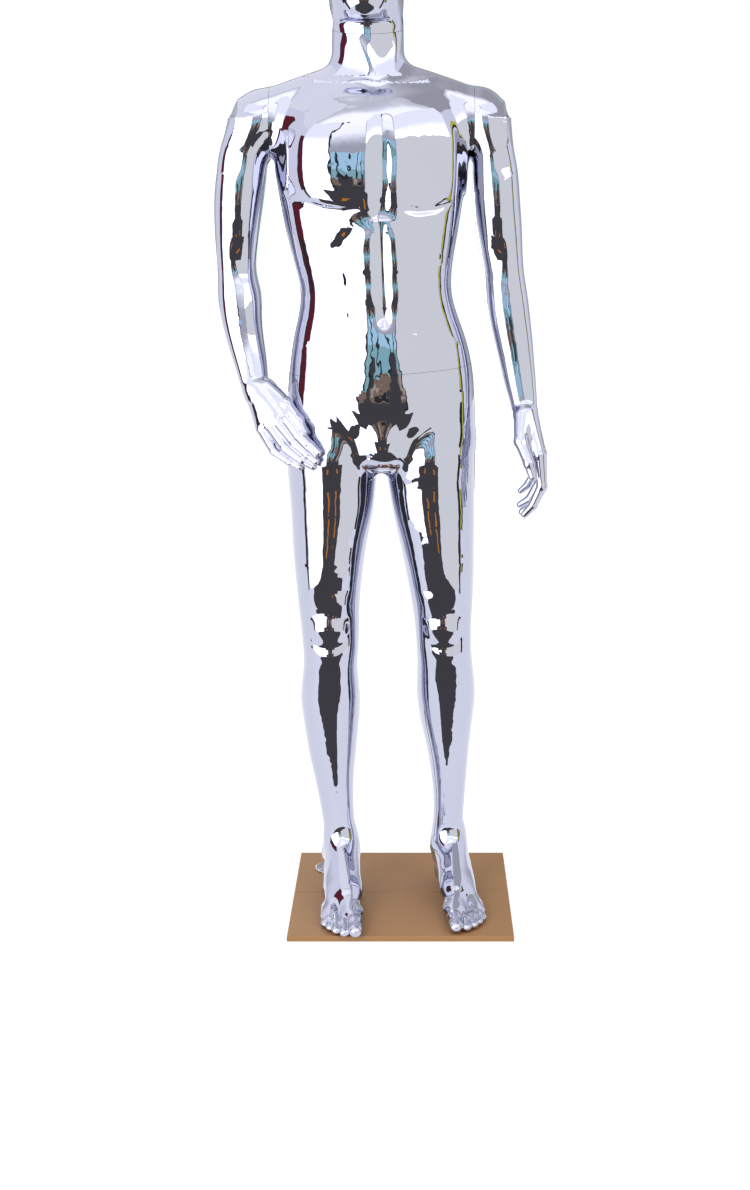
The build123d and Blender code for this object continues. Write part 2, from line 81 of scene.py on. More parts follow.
def smooth_spline(knots, values):
    """Natural cubic spline through the stations, held level past the ends."""
    knots = np.asarray(knots, float)
    values = np.asarray(values, float)
    order = np.argsort(knots)
    knots, values = knots[order], values[order]
    count = len(knots)
    gap = np.diff(knots)
    matrix = np.eye(count)
    right = np.zeros(count)
    for i in range(1, count - 1):
        matrix[i, i - 1], matrix[i, i], matrix[i, i + 1] = gap[i - 1], 2 * (gap[i - 1] + gap[i]), gap[i]
        right[i] = 6 * ((values[i + 1] - values[i]) / gap[i] - (values[i] - values[i - 1]) / gap[i - 1])
    bend = np.linalg.solve(matrix, right)

    def at(t):
        t = np.clip(t, knots[0], knots[-1])
        i = np.clip(np.searchsorted(knots, t) - 1, 0, count - 2)
        a = (knots[i + 1] - t) / gap[i]
        b = 1 - a
        curve = ((a**3 - a) * bend[i] + (b**3 - b) * bend[i + 1]) * gap[i] ** 2 / 6
        return a * values[i] + b * values[i + 1] + curve

    return at


def column(stations, blend, axis=2):
    """Oval column along an axis. A station is height, centre, half width, front and back reach, squareness:
    the width runs along X (Y on a column along X) and front and back are places on the other axis."""
    rows = np.array(stations, float)
    heights = rows[:, 0]
    centre, half, front, back, square = [smooth_spline(heights, rows[:, i]) for i in range(1, 6)]
    low, high = heights.min(), heights.max()

    def distance(x, y, z):
        h, u, v = (z, x, y) if axis == 2 else (x, y, z)
        mid = (front(h) + back(h)) / 2
        depth = (back(h) - front(h)) / 2
        du, dv = u - centre(h), v - mid
        power = square(h)
        ratio = (np.abs(du / half(h)) ** power + np.abs(dv / depth) ** power) ** (1 / power)
        reach = np.hypot(du, dv)
        around = reach - reach / np.maximum(ratio, 1e-4)
        return np.maximum(around, np.maximum(low - h, h - high))

    narrow, wide = (rows[:, 1] - rows[:, 2]).min(), (rows[:, 1] + rows[:, 2]).max()
    first, last = rows[:, 3].min(), rows[:, 4].max()
    if axis == 2:
        corners = (narrow, first, low), (wide, last, high)
    else:
        corners = (low, narrow, first), (high, wide, last)
    margin = blend + 2 * MARGIN
    return "union", distance, np.array(corners[0]) - margin, np.array(corners[1]) + margin, blend


def rod(start, end, start_radius, end_radius, blend):
    """Round-ended tapered rod between two points."""
    start, end = np.array(start, float), np.array(end, float)
    line = end - start
    length2 = line @ line

    def distance(x, y, z):
        px, py, pz = x - start[0], y - start[1], z - start[2]
        t = np.clip((px * line[0] + py * line[1] + pz * line[2]) / length2, 0, 1)
        away = np.sqrt((px - t * line[0]) ** 2 + (py - t * line[1]) ** 2 + (pz - t * line[2]) ** 2)
        return away - (start_radius + (end_radius - start_radius) * t)

    margin = max(start_radius, end_radius) + blend + MARGIN
    return "union", distance, np.minimum(start, end) - margin, np.maximum(start, end) + margin, blend


def turned(spin):
    """Rotation matrix from degrees about X, Y and Z; its rows are the turned axes."""
    ax, ay, az = (math.radians(angle) for angle in spin)
    rx = np.array([[1, 0, 0], [0, math.cos(ax), -math.sin(ax)], [0, math.sin(ax), math.cos(ax)]])
    ry = np.array([[math.cos(ay), 0, math.sin(ay)], [0, 1, 0], [-math.sin(ay), 0, math.cos(ay)]])
    rz = np.array([[math.cos(az), -math.sin(az), 0], [math.sin(az), math.cos(az), 0], [0, 0, 1]])
    return (rz @ ry @ rx).T


def egg(centre, radii, blend, spin=(0, 0, 0)):
    """Turned ellipsoid."""
    centre, radii, axes = np.array(centre, float), np.array(radii, float), turned(spin)

    def distance(x, y, z):
        px, py, pz = x - centre[0], y - centre[1], z - centre[2]
        near = far = 0
        for axis, radius in zip(axes, radii):
            along = px * axis[0] + py * axis[1] + pz * axis[2]
            near = near + (along / radius) ** 2
            far = far + (along / radius**2) ** 2
        near, far = np.sqrt(near), np.sqrt(far)
        return near * (near - 1) / np.maximum(far, 1e-6)

    margin = radii.max() + blend + MARGIN
    return "union", distance, centre - margin, centre + margin, blend


def bump(centre, widths, height, spin=(0, 0, 0)):
    """Soft swelling (or hollow, where height is negative) with a bell profile."""
    centre, widths, axes = np.array(centre, float), np.array(widths, float), turned(spin)

    def raise_by(x, y, z):
        px, py, pz = x - centre[0], y - centre[1], z - centre[2]
        total = 0
        for axis, width in zip(axes, widths):
            total = total + ((px * axis[0] + py * axis[1] + pz * axis[2]) / width) ** 2
        return height * np.exp(-total / 2)

    reach = BELL_REACH * widths.max()
    return "swell", raise_by, centre - reach, centre + reach, 0


def crease(points, width, height):
    """Soft groove (negative height) or ridge along a chain of points, fading out at both ends."""
    points = np.array(points, float)
    lengths = np.linalg.norm(np.diff(points, axis=0), axis=1)
    marks = np.concatenate([[0], np.cumsum(lengths)])

    def raise_by(x, y, z):
        best, place = None, None
        for i, length in enumerate(lengths):
            line = (points[i + 1] - points[i]) / length
            px, py, pz = x - points[i][0], y - points[i][1], z - points[i][2]
            t = np.clip(px * line[0] + py * line[1] + pz * line[2], 0, length)
            away = (px - t * line[0]) ** 2 + (py - t * line[1]) ** 2 + (pz - t * line[2]) ** 2
            if best is None:
                best, place = away, marks[i] + t
            else:
                place = np.where(away < best, marks[i] + t, place)
                best = np.minimum(away, best)
        fade = np.sin(np.pi * np.clip(place / marks[-1], 0, 1)) ** 0.7
        return height * fade * np.exp(-best / (2 * width**2))

    reach = BELL_REACH * width
    return "swell", raise_by, points.min(0) - reach, points.max(0) + reach, 0


def flat_cut(point, normal, blend):
    """Keeps what is behind a plane, with a small rounded edge."""
    point, normal = np.array(point, float), np.array(normal, float)

    def distance(x, y, z):
        return (x - point[0]) * normal[0] + (y - point[1]) * normal[1] + (z - point[2]) * normal[2]

    everywhere = np.full(3, 1e6)
    return "cut", distance, -everywhere, everywhere, blend


def apply_shape(kind, value, found, blend):
    """The field after one more shape."""
    if kind == "swell":
        return value - found
    if kind == "cut":
        mix = np.clip(0.5 - 0.5 * (found - value) / blend, 0, 1)
        return found * (1 - mix) + value * mix + blend * mix * (1 - mix)
    mix = np.clip(0.5 + 0.5 * (found - value) / blend, 0, 1)
    return found * (1 - mix) + value * mix - blend * mix * (1 - mix)


# Field value where no shape reaches.
FAR = 40.0


def field_at(shapes, points):
    """The field at a list of points."""
    value = np.full(len(points), FAR)
    for kind, distance, low, high, blend in shapes:
        inside = np.all((points > low) & (points < high), axis=1)
        x, y, z = points[inside].T
        value[inside] = apply_shape(kind, value[inside], distance(x, y, z), blend)
    return value


def slope_at(shapes, points, step=0.25):
    """Gradient of the field by four samples round each point."""
    corners = np.array([(1, -1, -1), (-1, -1, 1), (-1, 1, -1), (1, 1, 1)], float)
    total = np.zeros_like(points)
    for corner in corners:
        total += corner * field_at(shapes, points + corner * step)[:, None]
    return total / (4 * step)


def skin(shapes, low, high, voxel):
    """Quad mesh of the zero surface: vertices in millimetres and quads."""
    low, high = np.array(low, float), np.array(high, float)
    sizes = np.ceil((high - low) / voxel).astype(int) + 1
    lines = [low[i] + voxel * np.arange(sizes[i]) for i in range(3)]
    value = np.full(sizes, FAR, np.float32)
    for kind, distance, box_low, box_high, blend in shapes:
        spans = [slice(*np.searchsorted(lines[i], (box_low[i], box_high[i]))) for i in range(3)]
        if any(span.stop <= span.start for span in spans):
            continue
        x = lines[0][spans[0]][:, None, None]
        y = lines[1][spans[1]][None, :, None]
        z = lines[2][spans[2]][None, None, :]
        block = value[spans[0], spans[1], spans[2]]
        value[spans[0], spans[1], spans[2]] = apply_shape(kind, block, distance(x, y, z), blend)
    band = 3 * voxel
    grid = openvdb.FloatGrid(background=band)
    grid.copyFromArray(np.clip(value, -band, band).astype(np.float32))
    points, quads = grid.convertToQuads(isovalue=0.0)
    points = points.astype(float) * voxel + low
    return points, quads.astype(int)


def relax(points, quads, rounds):
    """Even out the spacing of a quad mesh: each vertex moves towards its neighbours' mean."""
    edges = np.concatenate([quads[:, [0, 1]], quads[:, [1, 2]], quads[:, [2, 3]], quads[:, [3, 0]]])
    edges = np.concatenate([edges, edges[:, ::-1]])
    degree = np.bincount(edges[:, 0], minlength=len(points))[:, None]
    for _ in range(rounds):
        total = np.stack([np.bincount(edges[:, 0], points[edges[:, 1], i], len(points)) for i in range(3)], 1)
        points = points + 0.5 * (total / np.maximum(degree, 1) - points)
    return points


def settle(shapes, points, rounds):
    """Move points onto the zero surface."""
    for _ in range(rounds):
        slope = slope_at(shapes, points)
        value = field_at(shapes, points)
        step = value / np.maximum((slope**2).sum(1), 0.05)
        points = points - slope * np.clip(step, -3, 3)[:, None]
    return points


# ---------------------------------------------------------------- marks on the skin
START_BACK = 120
SLIDES = 70
SLIDE_SHARE = 0.7
LONGEST_SLIDE = 20


def onto(shapes, places, towards):
    """Start short of each place and slide along a direction until the surface is met."""
    towards = np.array(towards, float) / np.linalg.norm(towards)
    places = np.array(places, float) - towards * START_BACK
    for _ in range(SLIDES):
        away = np.clip(field_at(shapes, places), -LONGEST_SLIDE, LONGEST_SLIDE)
        places = places + towards * (SLIDE_SHARE * away)[:, None]
    return places


def drawn(points, spacing=28.0):
    """Points closer together along a smooth line through the given ones."""
    points = np.array(points, float)
    marks = np.concatenate([[0], np.cumsum(np.linalg.norm(np.diff(points, axis=0), axis=1))])
    places = np.linspace(0, marks[-1], max(3, int(marks[-1] / spacing) + 1))
    if len(points) < 3:
        return np.stack([np.interp(places, marks, points[:, i]) for i in range(3)], 1)
    return np.stack([smooth_spline(marks, points[:, i])(places) for i in range(3)], 1)


def line_mark(shapes, points, towards, width, height):
    """Ridge or groove drawn on the surface of the shapes made so far."""
    shapes.append(crease(onto(shapes, drawn(points), towards), width, height))


def dab(shapes, place, towards, widths, height, spin=(0, 0, 0)):
    """Swelling or hollow centred on the surface of the shapes made so far."""
    shapes.append(bump(onto(shapes, [place], towards)[0], widths, height, spin))


INWARD = (0, 1, 0)
OUTWARD = (0, -1, 0)
SIDES = (-1, 1)


# ---------------------------------------------------------------- trunk
def on_trunk(across, forward, height):
    """A place in the trunk's own axes: it turns to the figure's left by more towards the chest."""
    turn = math.radians(np.interp(height, (850, 1300), (4, 10)))
    middle = np.interp(height, (850, 1000, 1130, 1250), (0.5, -1, -9, -17))
    x = middle + across * math.cos(turn) + forward * math.sin(turn)
    return x, 24 + across * math.sin(turn) - forward * math.cos(turn), height


# Columns up the body: height, centre x, half width, front and back y, squareness.
TRUNK = [
    (806, 1, 60, -14, 52, 2),
    (822, 1, 124, -44, 78, 2.1),
    (848, 1, 164, -66, 98, 2.3),
    (890, 0.5, 171, -78, 108, 2.5),
    (945, -1, 170.5, -82, 116, 2.5),
    (1005, -1.5, 165, -79, 112, 2.4),
    (1065, -4.5, 152, -75, 100, 2.3),
    (1125, -9, 138, -73, 95, 2.3),
    (1185, -14.5, 144, -76, 101, 2.3),
    (1245, -17, 156.5, -79, 113, 2.35),
    (1305, -18, 167, -78, 124, 2.4),
    (1371, -18, 176, -73, 126, 2.4),
    (1430, -17, 170, -76, 114, 2.3),
    (1472, -17, 148, -64, 103, 2.3),
    (1506, -17, 108, -34, 92, 2.1),
]
# Along X: place, centre y, half depth, bottom and top, squareness.
SHOULDERS = [
    (-250, 28, 40, 1402, 1472, 2.1),
    (-200, 30, 50, 1396, 1501, 2.2),
    (-146, 34, 57, 1388, 1522, 2.2),
    (-96, 38, 63, 1384, 1538, 2.1),
    (-16, 40, 68, 1384, 1548, 2.1),
    (64, 38, 63, 1384, 1538, 2.1),
    (114, 34, 57, 1388, 1522, 2.2),
    (168, 30, 50, 1396, 1501, 2.2),
    (218, 28, 40, 1402, 1472, 2.1),
]
NECK_COLUMN = [
    (1455, -18, 74, -24, 94, 2),
    (1500, -21, 69, -24, 92, 2),
    (1550, -24, 66, -25, 92, 2),
    (1606, -24, 65, -28, 95, 2),
    (1655, -26, 64, -30, 98, 2),
    (1700, -28, 62, -30, 100, 2),
]
RIGHT_BALL = egg((-219, 30, 1436), (54, 51, 62), 22)
LEFT_BALL = egg((184, 30, 1438), (43, 50, 62), 22)
YOKE = column(SHOULDERS, 22, axis=0)
NECK_SHAPE = column(NECK_COLUMN, 26)

# Chest muscles, across the trunk's own axes: across, forward, bottom and top.
CHEST = [
    (-156, 46, 1318, 1412),
    (-145, 68, 1308, 1424),
    (-126, 88, 1296, 1436),
    (-98, 100, 1286, 1446),
    (-60, 108, 1282, 1452),
    (-26, 114, 1285, 1452),
    (26, 114, 1285, 1452),
    (60, 109, 1282, 1452),
    (98, 101, 1286, 1446),
    (126, 89, 1296, 1436),
    (145, 69, 1308, 1424),
    (156, 46, 1318, 1412),
]
CHEST_THICK = 46
chest = []
for across, forward, low, high in CHEST:
    x, y, _ = on_trunk(across, forward, 1350)
    chest.append((x, y + CHEST_THICK, CHEST_THICK, low, high, 3.1))

body = [column(TRUNK, 1), column(chest, 26, axis=0), YOKE, RIGHT_BALL, LEFT_BALL, NECK_SHAPE]
# Each leg from inside the hip to the ankle.
RIGHT_LEG = [
    (912, -84, 56, -34, 80, 2),
    (880, -86, 74, -60, 102, 2.1),
    (840, -88, 83, -72, 112, 2.2),
    (785, -90, 81, -67, 110, 2.1),
    (735, -90.5, 76.5, -63, 104, 2.1),
    (673, -95, 69, -59, 94, 2),
    (610, -97, 62, -54, 84, 2),
    (560, -97, 57, -48, 74, 2),
    (515, -95, 54, -43, 68, 2.1),
    (475, -94, 51.5, -42, 65, 2.1),
    (440, -95, 50.5, -40, 76, 2),
    (385, -96, 55, -36, 92, 2),
    (330, -94.5, 51.5, -31, 93, 2),
    (275, -92.5, 44.5, -26, 82, 2),
    (220, -88.5, 36, -22, 66, 2),
    (165, -83, 30.5, -19, 54, 2),
    (120, -79, 29, -18, 50, 2),
    (72, -78, 31, -22, 52, 2),
]
LEFT_LEG = [
    (912, 84, 56, -34, 80, 2),
    (880, 86, 74, -60, 102, 2.1),
    (840, 88, 83, -72, 112, 2.2),
    (785, 91, 80, -67, 110, 2.1),
    (735, 95, 76, -63, 104, 2.1),
    (673, 101.5, 69, -59, 95, 2),
    (610, 108, 62, -53, 86, 2),
    (560, 111.5, 56.5, -45, 78, 2),
    (515, 113.5, 52.5, -38, 73, 2.1),
    (475, 115, 51, -36, 71, 2.1),
    (440, 117, 52, -33, 84, 2),
    (385, 119, 54.5, -27, 101, 2),
    (330, 120.5, 48.5, -20, 103, 2),
    (275, 123, 39.5, -14, 92, 2),
    (220, 125, 32.5, -8, 77, 2),
    (165, 124.5, 28.5, -4, 68, 2),
    (120, 122.5, 28.5, -2, 67, 2),
    (72, 123, 30, -6, 70, 2),
]
LEGS = {-1: RIGHT_LEG, 1: LEFT_LEG}


def on_leg(side, across, height, depth):
    """A place on a leg: across is towards the outside, depth runs from the front (0) to the back (1)."""
    rows = np.array(LEGS[side][::-1])
    centre, half, front, back = [np.interp(height, rows[:, 0], rows[:, i]) for i in range(1, 5)]
    return centre + side * across * half, front + depth * (back - front), height


for side in SIDES:
    body.append(column(LEGS[side], 20))
# Buttock, calf heads, kneecap and ankle bones.
for side in SIDES:
    body.append(egg((1 + side * 80, 84, 896), (76, 62, 86), 20, (0, 0, side * 14)))
    body.append(egg(on_leg(side, -0.30, 362, 0.66), (31, 34, 78), 18))
    body.append(egg(on_leg(side, 0.30, 384, 0.62), (27, 33, 66), 18))
    body.append(egg(on_leg(side, 0.0, 521, 0.10), (27, 16, 29), 11))
    body.append(egg(on_leg(side, -0.75, 96, 0.40), (11, 14, 15), 9))
    body.append(egg(on_leg(side, 0.78, 84, 0.56), (11, 13, 16), 9))
# Front of the crotch.
body.append(egg((3, -48, 856), (36, 28, 40), 30))

# ---------------------------------------------------------------- feet
# Back of the heel, and how far the foot turns out, in degrees.
FEET = {-1: ((-78, 62), 2.0), 1: ((124, 82), 8.0)}
# Toes from the big one: across (towards the outside), root and tip in front of the heel, radius.
TOES = [
    (-25, 212, 257, 13.5),
    (-5, 210, 254, 9.5),
    (9, 202, 244, 9),
    (20, 191, 231, 8.5),
    (29, 178, 215, 8.5),
]


def on_foot(side, along, across, height):
    """A place in a foot's own axes: along from the heel, across to the outside, height over the sole."""
    (heel_x, heel_y), turn = FEET[side]
    turn = math.radians(turn)
    x = heel_x + along * math.sin(turn) + side * across * math.cos(turn)
    y = heel_y - along * math.cos(turn) + side * across * math.sin(turn)
    return x, y, SOLE + height


def foot(side):
    """Heel, sole, instep, ball and toes of one foot, added to the body."""

    def spot(along, across, height):
        return on_foot(side, along, across, height)

    body.append(egg(spot(32, 0, 30), (30, 33, 36), 14))
    body.append(rod(spot(36, 2, 26), spot(112, 12, 20), 27, 22, 14))
    body.append(rod(spot(70, -4, 64), spot(150, -11, 36), 28, 23, 18))
    body.append(rod(spot(46, -2, 100), spot(154, -12, 33), 26, 20, 22))
    body.append(rod(spot(140, -11, 38), spot(208, -17, 17), 23, 15, 16))
    body.append(rod(spot(84, 8, 46), spot(190, 16, 15), 23, 13, 16))
    body.append(egg(spot(200, -22, 17), (20, 30, 17), 10))
    body.append(egg(spot(178, 21, 13), (14, 30, 14), 10))
    for across, root, tip, radius in TOES:
        start = spot(root - 14, across, radius + 7)
        knuckle = spot((root + tip) / 2, across, radius + 3)
        end = spot(tip, across - 1, radius - 2)
        body.append(rod(start, knuckle, radius - 1, radius - 1, 5))
        body.append(rod(knuckle, end, radius - 1.5, radius - 2, 3.5))
        body.append(egg(end, (radius * 0.95, radius * 1.1, radius * 0.75), 4))
    line_mark(body, [spot(96, -6, 80), spot(150, -14, 60), spot(214, -24, 30)], (0, 0, -1), 4, 2.0)


for side in SIDES:
    foot(side)
body.append(flat_cut((0, 0, SOLE), (0, 0, -1), 3))

# ---------------------------------------------------------------- muscles of the trunk
for side in SIDES:
    fold = [on_trunk(side * 34, 100, 1286), on_trunk(side * 84, 96, 1280), on_trunk(side * 132, 76, 1296)]
    line_mark(body, fold, INWARD, 5, -4)
    collar = [on_trunk(side * 16, 74, 1482), on_trunk(side * 70, 80, 1484), on_trunk(side * 140, 66, 1493)]
    line_mark(body, collar, INWARD, 8, 2)
    tendon = [on_trunk(side * 10, 72, 1494), on_trunk(side * 26, 66, 1540), on_trunk(side * 52, 20, 1610)]
    line_mark(body, tendon, (0.43 - side * 0.349, 1, 0), 9, 2.5)
    for height in (1234, 1184, 1134):
        dab(body, on_trunk(side * 30, 110, height), INWARD, (17, 20, 17), 4.5)
    dab(body, on_trunk(side * 25, 110, 1040), INWARD, (24, 20, 42), 2)
    arch = [on_trunk(side * 14, 110, 1252), on_trunk(side * 58, 108, 1232), on_trunk(side * 98, 88, 1176)]
    line_mark(body, arch, INWARD, 11, -4)
    edge = [on_trunk(side * 60, 110, 1250), on_trunk(side * 58, 108, 1160), on_trunk(side * 54, 106, 1060)]
    line_mark(body, edge, INWARD, 11, -3)
    hip = [on_trunk(side * 128, 76, 1052), on_trunk(side * 92, 98, 1004), on_trunk(side * 60, 104, 950)]
    line_mark(body, hip, INWARD, 15, -4)
    groin = [on_trunk(side * 122, 90, 972), on_trunk(side * 84, 104, 908), on_trunk(side * 30, 106, 836)]
    line_mark(body, groin, INWARD, 15, -6)
    dab(body, (-16 + side * 80, 150, 1395), OUTWARD, (34, 20, 52), 7)
    dab(body, (-8 + side * 32, 150, 1120), OUTWARD, (22, 20, 80), 5)
    dab(body, (side * 40, 150, 998), OUTWARD, (12, 10, 12), -3)
line_mark(body, [on_trunk(0, 110, 1450), on_trunk(0, 120, 1350), on_trunk(0, 110, 1262)], INWARD, 12, -9)
line_mark(body, [on_trunk(0, 110, 1270), on_trunk(0, 110, 1180), on_trunk(0, 110, 1096)], INWARD, 8, -4)
dab(body, on_trunk(0, 110, 1092), INWARD, (6, 12, 9), -7)
dab(body, on_trunk(-2, 80, 1498), INWARD, (11, 12, 11), -4)
line_mark(body, [(-20, 150, 1500), (-16, 150, 1300), (-6, 150, 1100), (0, 150, 990)], OUTWARD, 11, -8)
line_mark(body, [(1, 160, 975), (1, 160, 900), (1, 150, 820)], OUTWARD, 9, -12)
for side in SIDES:
    thigh = [on_leg(side, -0.35, 590, -0.2), on_leg(side, -0.42, 560, -0.2), on_leg(side, -0.40, 540, -0.2)]
    line_mark(body, thigh, INWARD, 12, 3)
    line_mark(body, [on_leg(side, 0.45, 640, -0.2), on_leg(side, 0.5, 560, -0.2)], INWARD, 14, 2)
    dab(body, on_leg(side, 0.0, 470, -0.2), INWARD, (13, 12, 12), 3)
    shin = [on_leg(side, -0.1, 450, -0.2), on_leg(side, -0.16, 340, -0.2), on_leg(side, -0.1, 160, -0.2)]
    line_mark(body, shin, INWARD, 7, 2.5)

# ---------------------------------------------------------------- arms
# Each arm from under the shoulder to the wrist.
RIGHT_ARM = [
    (1440, -236, 36, -20, 78, 2.5),
    (1400, -247, 42, -22, 83, 2.5),
    (1355, -253, 45, -20, 86, 2.5),
    (1300, -259, 44.5, -16, 86, 2.5),
    (1245, -263, 40.5, -9, 83, 2.5),
    (1200, -265, 36.5, -1, 82, 2.5),
    (1165, -264, 35.5, 2, 83, 2.5),
    (1130, -260, 39, -3, 80, 2.5),
    (1085, -256, 37, -9, 68, 2.5),
    (1040, -247.5, 33.5, -14, 52, 2.5),
    (1000, -237.5, 29.5, -23, 32, 2.5),
    (965, -229, 25.5, -34, 14, 2.5),
    (940, -221, 24, -40, 2, 2.5),
]
LEFT_ARM = [
    (1440, 199, 31, -20, 78, 2.5),
    (1400, 203, 35, -22, 83, 2.5),
    (1355, 206.5, 40.5, -20, 86, 2.5),
    (1300, 210, 42, -16, 86, 2.5),
    (1245, 215, 41, -9, 83, 2.5),
    (1200, 220, 38, -1, 82, 2.5),
    (1165, 224.5, 36.5, 3, 82, 2.5),
    (1130, 228.5, 38, 1, 82, 2.5),
    (1085, 234, 38, -2, 76, 2.5),
    (1040, 241.5, 35, -3, 65, 2.5),
    (1000, 248, 31.5, -5, 53, 2.5),
    (960, 254.5, 28, -9, 41, 2.5),
    (925, 260, 24, -14, 30, 2.5),
    (900, 262, 22, -18, 26, 2.5),
]
# Hand: wrist, then for the thumb and each finger its root, joints and tip with the radius at each.
RIGHT_HAND = [
    [((-206, -22, 962), 16), ((-171, -42, 934), 12.5), ((-147, -58, 906), 10), ((-137, -70, 886), 8)],
    [
        ((-224, -22, 958), 17),
        ((-172, -50, 913), 12),
        ((-144, -71, 880), 9.5),
        ((-124, -83, 864), 8.5),
        ((-110, -90, 852), 7),
    ],
    [
        ((-228, -20, 958), 17),
        ((-186, -53, 906), 12.5),
        ((-152, -76, 867), 9.5),
        ((-130, -87, 849), 8.5),
        ((-114, -92, 837), 7),
    ],
    [
        ((-231, -16, 958), 16),
        ((-200, -49, 898), 12),
        ((-170, -73, 859), 9),
        ((-140, -86, 838), 8),
        ((-119, -90, 827), 6.5),
    ],
    [
        ((-233, -12, 960), 14),
        ((-214, -42, 889), 11),
        ((-191, -64, 852), 8),
        ((-162, -78, 834), 7),
        ((-143, -83, 825), 6),
    ],
]
LEFT_HAND = [
    [((256, -12, 908), 16), ((252, -36, 866), 12.5), ((266, -54, 828), 10), ((273, -59, 804), 8)],
    [
        ((263, -6, 912), 18),
        ((285, -34, 840), 12),
        ((290, -39, 784), 9.5),
        ((274, -37, 748), 8.5),
        ((260, -34, 732), 7),
    ],
    [
        ((264, 4, 912), 18),
        ((289, -13, 838), 12.5),
        ((293, -16, 779), 9.5),
        ((276, -16, 745), 8.5),
        ((257, -14, 733), 7),
    ],
    [((262, 12, 912), 17), ((288, 8, 840), 12), ((290, 5, 786), 9), ((271, 4, 753), 8), ((254, 5, 743), 6.5)],
    [
        ((258, 18, 914), 14),
        ((282, 26, 846), 11),
        ((282, 24, 801), 8),
        ((268, 22, 776), 7),
        ((256, 21, 766), 6),
    ],
]


def hand(arm, fingers):
    """Palm and five fingers added to an arm."""
    for number, chain in enumerate(fingers):
        soft = 9
        for (start, start_radius), (end, end_radius) in zip(chain, chain[1:]):
            arm.append(rod(start, end, start_radius, end_radius, soft))
            soft = 2.5 if number else 5
    for near, far in zip(fingers[1:], fingers[2:]):
        middle = [(np.array(near[i][0]) + np.array(far[i][0])) / 2 for i in (0, 1)]
        arm.append(rod(middle[0] * 0.7 + middle[1] * 0.3, middle[1] * 0.92 + middle[0] * 0.08, 15, 9.5, 8))


right_arm = [YOKE, RIGHT_BALL, column(RIGHT_ARM, 24)]
left_arm = [YOKE, LEFT_BALL, column(LEFT_ARM, 24)]
hand(right_arm, RIGHT_HAND)
hand(left_arm, LEFT_HAND)
# Front and back of the upper arm, elbow, inner elbow and the groove under the shoulder.
for arm, side, middle in ((right_arm, -1, -258), (left_arm, 1, 212)):
    dab(arm, (middle, -90, 1290), INWARD, (24, 20, 52), 4)
    dab(arm, (middle + side * 3, 150, 1320), OUTWARD, (22, 20, 50), 4)
    dab(arm, (middle + side * 8, 150, 1166), OUTWARD, (11, 12, 14), 4)
    line_mark(arm, [(middle, -60, 1232), (middle - side * 14, -60, 1150)], INWARD, 12, -3)
    line_mark(arm, [(middle, -90, 1388), (middle + side * 24, -80, 1345)], INWARD, 13, -3)

# ---------------------------------------------------------------- head
# Skull, face, jaw, the plane under the chin and the neck.
head = [
    egg((-28, 42, 1764), (78, 90, 84), 1),
    egg((-28, 2, 1706), (66, 78, 108), 30),
    egg((-28, 10, 1668), (63, 74, 60), 22),
    flat_cut((-28, -72, 1602), (0, 0.37, -0.93), 5),
    column(NECK_COLUMN, 16),
]
for side in SIDES:
    line_mark(head, [(-24 + side * 46, -40, 1600), (-24 + side * 62, 40, 1660)], (-side, 0.2, 0), 9, 3)


# ---------------------------------------------------------------- materials
def new_material(name):
    """Principled material with its node tree, shader and an object-space coordinate."""
    material = bpy.data.materials.new(name)
    material.use_nodes = True
    tree = material.node_tree
    shader = tree.nodes["Principled BSDF"]
    place = tree.nodes.new("ShaderNodeTexCoord")
    return material, tree, shader, place.outputs["Object"]


def noise(tree, place, scale):
    """Soft 0 to 1 variation over the surface."""
    node = tree.nodes.new("ShaderNodeTexNoise")
    node.inputs["Scale"].default_value = scale
    node.inputs["Detail"].default_value = 3.0
    tree.links.new(place, node.inputs["Vector"])
    return node.outputs["Fac"]


def spread(tree, value, low, high):
    """Remaps a 0 to 1 value to a range."""
    node = tree.nodes.new("ShaderNodeMapRange")
    node.inputs["To Min"].default_value = low
    node.inputs["To Max"].default_value = high
    tree.links.new(value, node.inputs["Value"])
    return node.outputs["Result"]


def blended(tree, value, low, high):
    """Colour between two colours by a 0 to 1 value."""
    node = tree.nodes.new("ShaderNodeMix")
    node.data_type = "RGBA"
    node.inputs["A"].default_value = (*low, 1)
    node.inputs["B"].default_value = (*high, 1)
    tree.links.new(value, node.inputs["Factor"])
    return node.outputs["Result"]


def raise_skin(tree, shader, value, strength, distance):
    """Fine relief on a shader."""
    node = tree.nodes.new("ShaderNodeBump")
    node.inputs["Strength"].default_value = strength
    node.inputs["Distance"].default_value = distance
    tree.links.new(value, node.inputs["Height"])
    tree.links.new(node.outputs["Normal"], shader.inputs["Normal"])


def finished(name, low, high, metallic, rough, scale, bump_height=0.0, bump_scale=None):
    """Material with a little colour and roughness variation and, if asked, a fine texture."""
    material, tree, shader, place = new_material(name)
    shader.inputs["Metallic"].default_value = metallic
    value = noise(tree, place, scale)
    tree.links.new(blended(tree, value, low, high), shader.inputs["Base Color"])
    tree.links.new(spread(tree, value, rough[0], rough[1]), shader.inputs["Roughness"])
    if bump_height:
        raise_skin(tree, shader, noise(tree, place, bump_scale or scale * 6), 0.4, bump_height)
    return material


